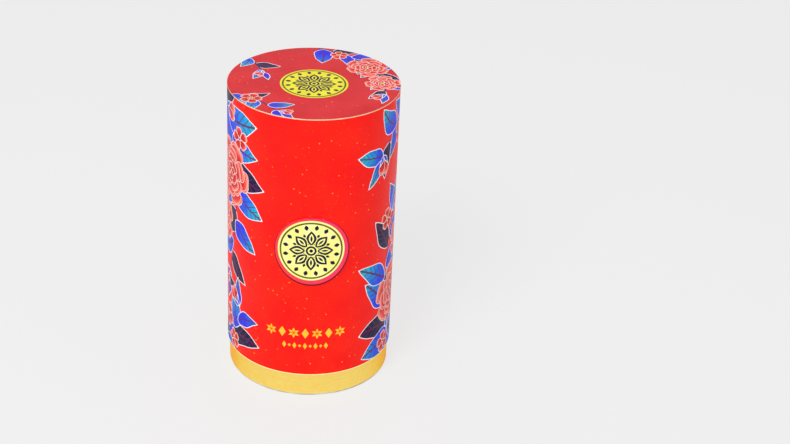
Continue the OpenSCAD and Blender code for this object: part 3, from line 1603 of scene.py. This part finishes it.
        # The pale gold band up to just over the mouth; its near-white paint is a painted highlight.
        sheet.add(rectangle(-half, end, low, SIZES.mouth + self.hairline), Ink.EDGE_GOLD, Spot(0, 0))
        sheet.add(rectangle(end - self.cut_edge, end, low, high), Ink.CORE, Spot(0, 0))
        bm = sheet.build(SIZES.paper)
        Drum(path, radius, shift, lap_at=half, lap_rise=SIZES.paper, climb=SIZES.lap_climb).wrap(bm)
        place_piece("lid_printed_wrap", bm, self.body, "printed_paper", pick(bm, inks), "lid_wrap")

    def wrap_rows(self, low: float, bend_z: float, fold: float, top_z: float, high: float) -> list[float]:
        """Rows of points that the wrap needs at its bends and up its wall.

        Args:
            low: The sheet's lower end.
            bend_z: Where its bend round the mouth ends.
            fold: Radius of that bend.
            top_z: Where its bend over the top begins.
            high: The sheet's upper end.

        Returns:
            Their heights on the sheet.
        """
        arc = math.pi * fold
        rows = [low, low + 4, bend_z - arc - 1.0, SIZES.mouth + self.hairline, high]
        rows += [bend_z - arc * (1 - i / 8) for i in range(9)]
        count = round((top_z - bend_z) / self.row_gap)
        rows += [bend_z + (top_z - bend_z) * (i + 1) / count for i in range(count)]
        rows += [top_z + SIZES.paper * math.pi / 2 * i / 3 for i in (1, 2, 3)]
        return rows + [(top_z + high) / 2]

    def ornament(self, sheet: PrintedSheet) -> None:
        """Prints the small gold ornament below the seal: a row of blossoms and studs, then a row of studs.

        Args:
            sheet: The wrap's sheet.
        """
        petal = [Vector(corner) for corner in ((0.12, 0), (0.5, -0.24), (1, 0), (0.5, 0.24))]
        start, step, height = self.blossom_row
        for i in range(7):
            x = start + step * i
            if i % 2:
                self.stud(sheet, x, height, 2.1, 3.3)
                continue
            for k in range(6):
                angle = math.tau * k / 6 + math.pi / 6
                sheet.add(petal, Ink.GOLD, Spot(x, height, angle, self.blossom))
        start, step, height = self.stud_row
        for i in range(9):
            self.stud(sheet, start + step * i, height, *((0.95, 1.1) if i % 2 else (1.2, 2.1)))

    @staticmethod
    def stud(sheet: PrintedSheet, x: float, y: float, half_width: float, half_height: float) -> None:
        """Prints a gold lozenge."""
        corners = ((x, y - half_height), (x + half_width, y), (x, y + half_height), (x - half_width, y))
        sheet.add([Vector(corner) for corner in corners], Ink.GOLD, Spot(0, 0))

    def card(self, inks: dict[Ink, bpy.types.Material]) -> None:
        """Makes the printed card on top, with its pale cut edge and the pocket for its seal.

        Args:
            inks: The material of each ink.
        """
        radius = SIZES.lid_radius
        # The card's ground takes those reds, with the top face's painted shade and sheen.
        ground = RedGround("card_red_ground", self.card_deep_shaded, self.card_warm_shaded)
        core = Board("card_core", srgb(250, 222, 178), srgb(234, 158, 122))
        inks = inks | {Ink.GROUND: ground.material(), Ink.CORE: core.material()}
        edge = round_outline(radius, self.card_steps)
        sheet = PrintedSheet(edge, Ink.GROUND, self.card_columns, self.card_rows)
        flora = Flora(sheet, self.seed + 1, self.card_line)
        for spray in self.top_sprays:
            spray.draw(flora)
        pocket = Seals.face_radius() + SIZES.foil_glue
        sheet.add(round_outline(pocket, 128, 0.0, Seals.top_place().y), Ink.POCKET, Spot(0, 0))
        bm = sheet.build(SIZES.card)
        sunk = [f for f in bm.faces if f.material_index == Ink.POCKET and f.normal.z > 0.5]
        floor = bmesh.ops.extrude_face_region(bm, geom=sunk)["geom"]
        bmesh.ops.delete(bm, geom=sunk, context="FACES")
        drop = SIZES.foil + SIZES.foil_glue
        bmesh.ops.translate(bm, vec=(0, 0, -drop), verts=[v for v in floor if isinstance(v, BMVert)])
        bmesh.ops.translate(bm, vec=(0, 0, SIZES.lid_top), verts=bm.verts)
        bmesh.ops.recalc_face_normals(bm, faces=bm.faces)
        place_piece("lid_printed_card", bm, self.body, "printed_card", pick(bm, inks), "lid_top_card")


@dataclass
class Linings:
    """The white papers inside one body: one on its wall and one on its end board, each as piece and node."""

    body: str
    wall: tuple[str, str]
    end: tuple[str, str]
    paper: float = 0.1

    def build(self) -> None:
        """Makes both papers of one material."""
        white = Board(f"{self.body}_lining_paper", srgb(238, 238, 234), srgb(216, 216, 210), spiral=0.085)
        material = white.material()
        low, high = SIZES.span(self.wall[1])
        wall = turned(ring_profile(high.x, high.x - self.paper, low.z, high.z))
        place_piece(self.wall[0], wall, self.body, "white_lining", [material], self.wall[1])
        low, high = SIZES.span(self.end[1])
        end = plate(high.x, low.z, high.z)
        place_piece(self.end[0], end, self.body, "white_lining", [material], self.end[1])


# The seals


@dataclass
class Seals:
    """The raised seal on the front and the flush one on top, with a plain traditional rosette.

    Each ring of the rosette has its count, how far it is turned, as a share of its step, and what is printed
    on each spoke: near end and far end of a lens, as shares of the face's radius, half its width, as a share
    of its length, and its ink.
    """

    body: str
    board: float = 0.9
    rim: float = 0.25
    # The next two set the dark ring round the board's face, which is painted shadow: its width, and how far
    # the magenta middle is moved up and left so that the ring is widest at the bottom and right.
    painted_shadow_ring: float = 0.52
    painted_shadow_shift: tuple[float, float] = (-0.1, 0.34)
    mesh_step: float = 1.4
    outline_steps: int = 144
    outer_ring: tuple[float, float] = (0.942, 0.89)
    hub: float = 0.19
    hub_ring: tuple[float, float] = (0.16, 0.1)
    hub_dot: float = 0.055
    rosette: tuple[tuple[int, float, tuple[tuple[float, float, float, Ink], ...]], ...] = (
        (16, 0.5, ((0.68, 0.86, 0.34, Ink.DARK),)),
        (8, 0.5, ((0.2, 0.6, 0.2, Ink.DARK),)),
        (8, 0.0, (
            (0.14, 0.68, 0.33, Ink.GROUND),
            (0.16, 0.66, 0.3, Ink.DARK),
            (0.23, 0.58, 0.22, Ink.GROUND),
            (0.29, 0.51, 0.15, Ink.DARK),
        )),
    )

    @staticmethod
    def face_radius() -> float:
        """Radius of a foil face, read from the top seal."""
        return SIZES.span("top_seal_foil")[1].x

    @staticmethod
    def top_place() -> Vector:
        """Where the middle of the top seal's face lies."""
        low, high = SIZES.span("top_seal_foil")
        return Vector(((low.x + high.x) / 2, (low.y + high.y) / 2, high.z))

    def build(self) -> None:
        """Builds and dresses the seals."""
        self.front_board()
        dark = FlatInk("seal_dark_ink", srgb(18, 18, 46), srgb(34, 28, 66)).material()
        olive = FlatInk("seal_ring_ink", srgb(98, 98, 16), srgb(66, 68, 18)).material()
        yellow = FoilFace("top_foil", srgb(246, 236, 2), srgb(234, 220, 0), metallic=0.1).material()
        pale = FoilFace("front_foil", srgb(255, 254, 166), srgb(253, 246, 138), metallic=0.1).material()
        edge = FoilFace("foil_edge", srgb(250, 200, 70), srgb(240, 180, 50)).material()
        inks = {Ink.GROUND: yellow, Ink.DARK: dark, Ink.OLIVE: olive, Ink.CORE: edge}
        top = self.face(math.pi)
        bmesh.ops.translate(top, vec=self.top_place(), verts=top.verts)
        place_piece("top_seal_face", top, self.body, "gold_foil", pick(top, inks), "top_seal_foil")
        inks[Ink.GROUND] = pale
        front = self.face(0.0)
        self.bend_on(front, "front_seal_foil")
        place_piece("front_seal_face", front, self.body, "gold_foil", pick(front, inks), "front_seal_foil")

    @staticmethod
    def bend_on(bm: BMesh, node: str) -> None:
        """Bends a flat disc onto the lid's front, where its node lies.

        Args:
            bm: The disc, its face at height 0.
            node: The node.
        """
        face, turn, height, _ = SIZES.front_disc(node)
        path = SheetPath(face, 0.0, math.pi / 2).straight(SIZES.lid_top)
        Drum(path, face, height, turn).wrap(bm)

    def front_board(self) -> None:
        """Makes the magenta board that carries the front seal, with a painted shadow ring round its face."""
        _, _, _, radius = SIZES.front_disc("front_seal_board")
        rows = [self.mesh_step * i for i in range(-15, 16)]
        sheet = PrintedSheet(round_outline(radius, self.outline_steps), Ink.EDGE, self.mesh_step, rows)
        # The board's face is ringed in dark maroon, off-centre: painted shadow of the raised board.
        sheet.add(round_outline(radius - self.painted_shadow_ring, 128), Ink.GROUND, Spot(*self.painted_shadow_shift))
        bm = sheet.build(self.board, Ink.GROUND)
        soften(bm, self.rim, 3)
        self.bend_on(bm, "front_seal_board")
        painted_shadow_ring = FlatInk("seal_border_ink", srgb(112, 2, 20), srgb(84, 2, 22)).material()
        inks = {Ink.GROUND: MagentaBoard().material(), Ink.EDGE: painted_shadow_ring}
        materials = pick(bm, inks)
        place_piece("front_seal_board_raised", bm, self.body, "magenta_board", materials, "front_seal_board")

    def face(self, turn: float) -> BMesh:
        """Makes one foil face with its ring, studs and eight-petalled rosette.

        Args:
            turn: How far the rosette is turned.

        Returns:
            The flat face, at height 0.
        """
        radius = self.face_radius()
        rows = [self.mesh_step * i for i in range(-13, 14)]
        sheet = PrintedSheet(round_outline(radius, self.outline_steps), Ink.GROUND, self.mesh_step, rows)
        self.ring(sheet, radius, self.outer_ring, Ink.OLIVE)
        for count, offset, lenses in self.rosette:
            for i in range(count):
                angle = turn + math.tau * (i + offset) / count
                for near, far, width, ink in lenses:
                    spot = away_from(0, 0, radius * near, angle, radius * (far - near))
                    sheet.add(self.lens(width), ink, spot)
        sheet.add(round_outline(radius * self.hub, 48), Ink.GROUND, Spot(0, 0))
        self.ring(sheet, radius, self.hub_ring, Ink.DARK)
        sheet.add(round_outline(radius * self.hub_dot, 16), Ink.DARK, Spot(0, 0))
        return sheet.build(SIZES.foil)

    @staticmethod
    def ring(sheet: PrintedSheet, radius: float, edges: tuple[float, float], ink: Ink) -> None:
        """Prints a ring whose outer and inner edge are shares of a radius."""
        for edge, paint in zip(edges, (ink, Ink.GROUND)):
            sheet.add(round_outline(radius * edge, 96), paint, Spot(0, 0))

    @staticmethod
    def lens(width: float, steps: int = 8) -> list[Vector]:
        """Outline of a pointed petal one long.

        Args:
            width: Half its width.
            steps: Edges along each side.

        Returns:
            Its corners, anticlockwise.
        """
        swell = [width * math.sin(math.pi * i / steps) for i in range(steps + 1)]
        right = [Vector((i / steps, -swell[i])) for i in range(steps + 1)]
        return right + [Vector((i / steps, swell[i])) for i in range(steps - 1, 0, -1)]


# The base


@dataclass
class Base:
    """The base: board tube on its cut end, gold wrap, linings and the gold disc underneath.

    The foot's outer corner is rounded by foot_round and worn by up to the share foot_wear of its radius, and
    the outer soiled millimetres of its cut end carry painted shade where the box meets the floor. The gold
    paper's lower edge is uneven by about ragged.
    """

    body: str = "base"
    board_wall: float = 1.2
    foot_round: float = 0.42
    foot_wear: float = 0.0011
    ply: float = 0.4
    contact_shade_band: float = 0.25
    tube_steps: int = 288
    columns: int = 300
    wall_rows: int = 24
    bend_rows: int = 10
    inside_rows: int = 3
    ragged: float = 0.22
    disc_round: float = 0.08
    seed: int = 5

    def build(self) -> None:
        """Builds and dresses every piece of the base."""
        self.tube()
        self.gold_wrap()
        self.disc()
        sleeve = ("base_white_lining", "base_lining")
        Linings(self.body, sleeve, ("base_floor_lining", "base_bottom_lining")).build()
        greyboard = Board("base_greyboard", srgb(168, 164, 156), srgb(128, 122, 112))
        dress_node("base_bottom_board", greyboard.material())

    def tube(self) -> None:
        """Makes the board tube, its foot's outer corner rubbed soft."""
        low, high = SIZES.span("base_tube")
        outer = high.x
        bm = turned(ring_profile(outer, outer - self.board_wall, low.z, high.z), self.tube_steps)
        corner = {v for v in bm.verts if abs(v.co.z - low.z) < 1e-4 and v.co.xy.length > outer - 1e-3}
        edge = [e for e in bm.edges if corner.issuperset(e.verts)]
        bmesh.ops.bevel(
            bm, geom=edge, offset=self.foot_round, segments=4, profile=0.5, affect="EDGES", material=-1
        )
        hand = random.Random(self.seed)
        phases = [hand.uniform(0, math.tau) for _ in range(5)]
        for vert in bm.verts:
            if low.z + 1e-3 < vert.co.z < low.z + 0.6:
                turn = math.atan2(vert.co.y, vert.co.x)
                waves = [math.sin((7 + 9 * i) * turn + phase) for i, phase in enumerate(phases)]
                vert.co.xy *= 1 - self.foot_wear * max(0.0, sum(waves) / len(waves))
        smooth_all(bm)
        # The foot's cut end takes painted shade on its outer band, where the box meets the floor.
        contact_shade_start = (outer - self.contact_shade_band) * MM
        colours = srgb(246, 245, 241), srgb(216, 212, 206)
        white = Board("white_board", *colours, ply=self.ply * MM, contact_shade_from=contact_shade_start)
        place_piece("base_foot_tube", bm, self.body, "white_board", [white.material()], "base_tube")

    def gold_wrap(self) -> None:
        """Makes the gold paper as one flat sheet and folds it over the rim."""
        low, high = SIZES.span("base_wrap")
        bore = SIZES.span("base_bottom_lining")[1].x
        radius = bore + SIZES.glue + self.board_wall + SIZES.glue + SIZES.paper
        fold = (2 * SIZES.paper + 2 * SIZES.glue + self.board_wall) / 2
        bend_z = high.z - fold
        path = SheetPath(radius, low.z, math.pi / 2)
        path.straight(bend_z - low.z).bend(fold, math.pi).straight(SIZES.turn_in - fold)
        half = math.pi * radius
        arc = math.pi * fold
        wall = bend_z - low.z
        rows = [wall * i / self.wall_rows for i in range(self.wall_rows + 1)]
        rows += [wall + arc * (i + 1) / self.bend_rows for i in range(self.bend_rows)]
        inside = path.length - wall - arc
        rows += [wall + arc + inside * (i + 1) / self.inside_rows for i in range(self.inside_rows)]
        bm = bmesh.new()
        bmesh.ops.create_grid(bm, x_segments=self.columns, y_segments=len(rows) - 1, size=1)
        hand = random.Random(self.seed + 1)
        waves = [(hand.uniform(5, 60), hand.uniform(0, math.tau)) for _ in range(9)]
        for vert in bm.verts:
            x = -half + (vert.co.x + 1) / 2 * (2 * half + SIZES.lap)
            row = round((vert.co.y + 1) / 2 * (len(rows) - 1))
            y = rows[row]
            if row == 0:
                wave = sum(math.sin(pitch * x / radius + phase) for pitch, phase in waves) / len(waves)
                y = self.ragged * max(0.0, wave + 0.25)
            vert.co = (x, y, -SIZES.paper)
        front, _ = thicken(bm, SIZES.paper)
        for face in bm.faces:
            face.material_index = 0 if face in front else 1
        smooth_all(bm)
        seam = SIZES.base_seam - math.pi
        drum = Drum(path, radius, 0.0, seam, half, SIZES.paper, SIZES.lap_climb)
        drum.wrap(bm)
        bmesh.ops.recalc_face_normals(bm, faces=bm.faces)
        gold = GoldPaper("base_gold_paper", rubbed_foot=0.0032).material()
        core = Board("gold_paper_back", srgb(246, 240, 226), srgb(220, 210, 190)).material()
        place_piece("base_gold_wrap", bm, self.body, "gold_paper", [gold, core], "base_wrap")

    def disc(self) -> None:
        """Makes the gold disc underneath, whose shallow crease is in its finish."""
        low, high = SIZES.span("base_bottom_card")
        bm = plate(high.x, low.z, high.z, self.disc_round)
        gold = GoldPaper("foot_gold_paper", srgb(250, 220, 84), srgb(244, 206, 52), scuffs=0.9, crease=0.028)
        place_piece("base_gold_disc", bm, self.body, "gold_paper", [gold.material()], "base_bottom_card")


# The studio


@dataclass(frozen=True)
class Lamp:
    """One soft square lamp: where it hangs, where it points, its side and its watts."""

    name: str
    place: tuple[float, float, float]
    aim: tuple[float, float, float]
    side: float
    power: float

    def hang(self) -> None:
        """Hangs the lamp."""
        light = bpy.data.lights.new(self.name, "AREA")
        light.shape = "SQUARE"
        light.size = self.side
        light.energy = self.power
        lamp = bpy.data.objects.new(self.name, light)
        lamp.location = self.place
        lamp.rotation_euler = (Vector(self.aim) - Vector(self.place)).to_track_quat("-Z", "Y").to_euler()
        bpy.context.scene.collection.objects.link(lamp)


@dataclass
class Studio:
    """Pale floor, soft lamps and the camera that took the view."""

    image_width: int = 790
    focal_pixels: float = 1745.6
    distance: float = 1.0549
    elevation: float = math.radians(33.096)
    yaw: float = math.radians(-3.139)
    pitch: float = math.radians(-28.783)
    roll: float = math.radians(2.763)
    floor_colour: Colour = srgb(240, 240, 240)
    world_level: float = 0.56
    evenness: float = 0.8
    lamps: tuple[Lamp, ...] = (
        Lamp("key_softbox", (-0.5, -1.0, 1.2), (0, 0, 0.09), 0.6, 14.0),
        Lamp("top_softbox", (0.1, 0.35, 1.5), (0, 0, 0.1), 1.0, 1.5),
        Lamp("fill_softbox", (1.3, -0.6, 0.5), (0, 0, 0.09), 0.9, 1.5),
    )

    def build(self) -> None:
        """Builds the floor, the lamps, the world and the camera."""
        self.floor()
        self.world()
        for lamp in self.lamps:
            lamp.hang()
        self.camera()
        bpy.context.scene.view_settings.view_transform = "Standard"

    def floor(self) -> None:
        """Makes the pale floor, which keeps the box's soft shadow."""
        bm = bmesh.new()
        bmesh.ops.create_grid(bm, x_segments=1, y_segments=1, size=30.0)
        mesh = bpy.data.meshes.new("studio_floor")
        bm.to_mesh(mesh)
        bm.free()
        floor = bpy.data.objects.new("studio_floor", mesh)
        bpy.context.scene.collection.objects.link(floor)
        graph = Graph("studio_floor_paper")
        paper = graph.node("ShaderNodeBsdfDiffuse", {}, {"Color": (*self.floor_colour, 1.0)})
        plain = graph.node("ShaderNodeEmission", {}, {"Color": (*self.floor_colour, 1.0)})
        shares = {
            0: graph.seen() * self.evenness,
            1: Value(graph, paper.outputs[0]),
            2: Value(graph, plain.outputs[0]),
        }
        surface = graph.node("ShaderNodeMixShader", {}, shares)
        graph.node("ShaderNodeOutputMaterial", {}, {"Surface": Value(graph, surface.outputs[0])})
        mesh.materials.append(graph.owner)

    def world(self) -> None:
        """Lights the room evenly, and shows it as pale as the floor."""
        graph = Graph("studio_room", room=True)
        level = self.world_level + graph.seen() * (self.floor_colour[0] - self.world_level)
        air = graph.node("ShaderNodeBackground", {}, {"Color": (1, 1, 1, 1), "Strength": level})
        graph.node("ShaderNodeOutputWorld", {}, {"Surface": Value(graph, air.outputs[0])})
        bpy.context.scene.world = graph.owner

    def camera(self) -> None:
        """Sets the camera where the view was taken from."""
        data = bpy.data.cameras.new("view_camera")
        data.sensor_width = 36.0
        data.lens = data.sensor_width * self.focal_pixels / self.image_width
        data.clip_start, data.clip_end = 0.05, 50.0
        camera = bpy.data.objects.new("view_camera", data)
        turn = Matrix.Rotation(self.yaw, 4, "Z") @ Matrix.Rotation(math.pi / 2 + self.pitch, 4, "X")
        camera.rotation_euler = (turn @ Matrix.Rotation(self.roll, 4, "Z")).to_euler()
        back = Vector((0, -math.cos(self.elevation), math.sin(self.elevation)))
        camera.location = back * self.distance
        bpy.context.scene.collection.objects.link(camera)
        bpy.context.scene.camera = camera


def main() -> None:
    """Builds the whole scene."""
    logging.basicConfig(level=logging.INFO, format="%(name)s: %(message)s")
    Lid().build()
    Base().build()
    Studio().build()


if __name__ == "__main__":
    main()
